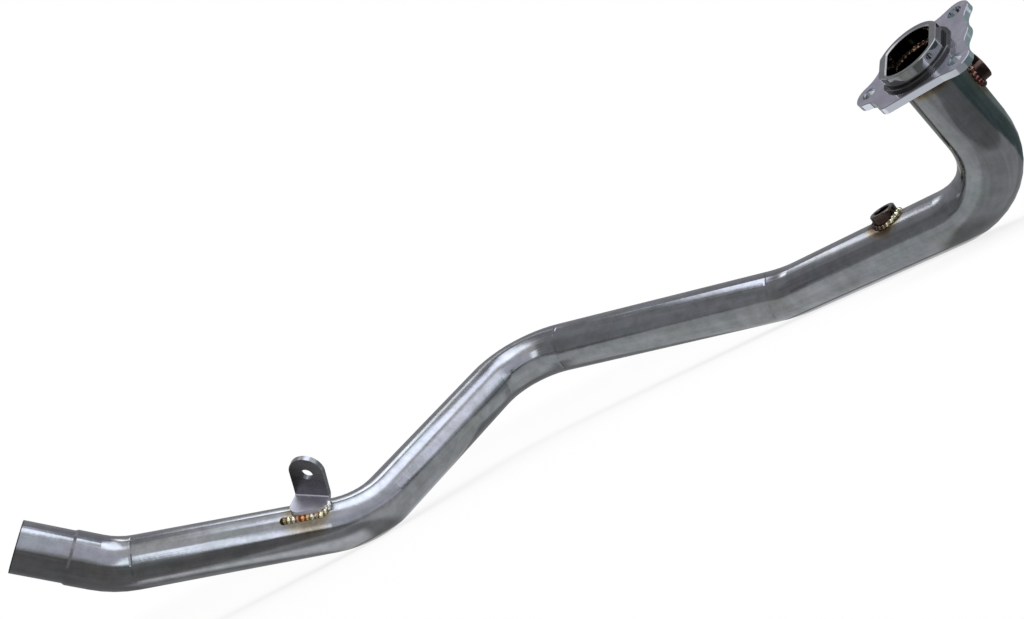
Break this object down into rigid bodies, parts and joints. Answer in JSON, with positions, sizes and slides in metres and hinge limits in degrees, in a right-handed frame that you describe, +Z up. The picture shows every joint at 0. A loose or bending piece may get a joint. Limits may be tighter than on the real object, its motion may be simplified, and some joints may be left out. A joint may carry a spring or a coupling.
{
  "type": "motorcycle decat pipe",
  "caption": "Bent stainless exhaust link pipe with a three-eared port flange and flatted collar, sensor bosses, a folded hanger bracket and a slip-joint tail.",
  "frame": {"origin": "on the floor under the middle of the part's bounding box, with the pipe lying as it comes to rest on three of its bends", "axes": "+Z up; +X from the middle of the tail end to the middle of the tube end in the flange, seen from above, which is the longest extent; +Y to the side where the pipe bows out"},
  "size_m": [0.7124, 0.2822, 0.1327],
  "materials": {
    "tube_steel": "satin stainless tube, drawn along its length, with a dark reflected band",
    "flange_steel": "glossy stainless plate with a lilac-grey cast",
    "collar_steel": "polished turned ring, dark, with a bright chamfer",
    "boss_steel": "turned stainless, heat tinted brown",
    "bracket_steel": "smooth stainless sheet, dark mirror-like ear",
    "hanger_bead": "rippled weld in straw, gold, orange and dark brown",
    "boss_bead": "rippled weld in gold and purple-brown",
    "inner_bead": "rippled weld, copper coloured"
  },
  "bodies": {
    "root": {"main_tube": "tube_steel", "port_flange": "flange_steel", "port_collar": "collar_steel", "upper_sensor_boss": "boss_steel", "lower_sensor_boss": "boss_steel", "hanger_bracket": "bracket_steel", "hanger_weld": "hanger_bead", "upper_boss_weld": "boss_bead", "lower_boss_weld": "boss_bead", "flange_weld": "inner_bead"}
  },
  "joints": []
}
